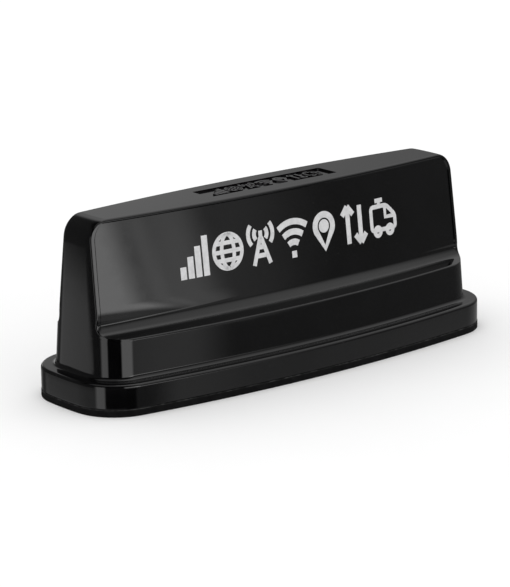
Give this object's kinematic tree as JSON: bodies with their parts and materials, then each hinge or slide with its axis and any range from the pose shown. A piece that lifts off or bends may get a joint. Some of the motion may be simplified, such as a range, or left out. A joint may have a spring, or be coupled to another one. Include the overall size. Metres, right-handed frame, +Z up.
{
  "type": "vehicle roof antenna",
  "caption": "Low black roof antenna for a vehicle: tall bowed fin with flat panels on a flanged foot over a foam gasket, with a jack bay underneath.",
  "frame": {"origin": "middle of the gasket's underside, on the roof that the antenna stands on", "axes": "+Z up from the roof, +X along the body, +Y across it; the face at -Y is one of the two long panels"},
  "size_m": [0.22, 0.0734, 0.079],
  "materials": {
    "gloss_black_plastic": "black injection-moulded radome plastic, polished",
    "cast_metal": "die-cast aluminium, bead blasted",
    "black_foam": "black closed-cell foam rubber, matt, fine specks on the cut edge",
    "seal_silicone": "moulded grey silicone",
    "zinc_steel": "zinc-plated steel",
    "brass": "turned brass",
    "gold_plate": "gold-plated turned brass",
    "tin_plate": "tin or nickel-plated sheet",
    "circuit_board": "green solder mask over copper",
    "holder_nylon": "natural nylon",
    "patch_ceramic": "sintered ceramic with a silvered top",
    "lead_jacket": "black cable jacket",
    "vent_plastic": "moulded grey vent plug"
  },
  "bodies": {
    "root": {"radome": "gloss_black_plastic", "base_plate": "cast_metal", "roof_gasket": "black_foam", "radome_seal": "seal_silicone", "radome_screw_1": "zinc_steel", "radome_screw_2": "zinc_steel", "radome_screw_3": "zinc_steel", "radome_screw_4": "zinc_steel", "radome_screw_5": "zinc_steel", "radome_screw_6": "zinc_steel", "radome_screw_7": "zinc_steel", "radome_screw_8": "zinc_steel", "ground_plate": "tin_plate", "ground_plate_screw_1": "zinc_steel", "ground_plate_screw_2": "zinc_steel", "ground_plate_screw_3": "zinc_steel", "ground_plate_screw_4": "zinc_steel", "roof_insert_1": "brass", "roof_insert_2": "brass", "roof_insert_3": "brass", "roof_insert_4": "brass", "vent_plug": "vent_plastic", "antenna_jack_1": "gold_plate", "antenna_jack_2": "gold_plate", "antenna_jack_3": "gold_plate", "antenna_jack_4": "gold_plate", "antenna_jack_5": "gold_plate", "jack_nut_1": "tin_plate", "jack_nut_2": "tin_plate", "jack_nut_3": "tin_plate", "jack_nut_4": "tin_plate", "jack_nut_5": "tin_plate", "coax_lead_1": "lead_jacket", "coax_lead_2": "lead_jacket", "coax_lead_3": "lead_jacket", "coax_lead_4": "lead_jacket", "coax_lead_5": "lead_jacket", "cellular_board_1": "circuit_board", "cellular_board_2": "circuit_board", "loading_plate_1": "tin_plate", "loading_plate_2": "tin_plate", "cellular_board_holder_1": "holder_nylon", "cellular_board_holder_2": "holder_nylon", "cellular_board_holder_3": "holder_nylon", "cellular_board_holder_4": "holder_nylon", "wifi_board_1": "circuit_board", "wifi_board_2": "circuit_board", "wifi_board_holder_1": "holder_nylon", "wifi_board_holder_2": "holder_nylon", "gnss_board": "circuit_board", "gnss_patch": "patch_ceramic", "gnss_shield_can": "tin_plate", "gnss_post_1": "holder_nylon", "gnss_post_2": "holder_nylon", "gnss_post_3": "holder_nylon", "gnss_post_4": "holder_nylon"}
  },
  "joints": []
}
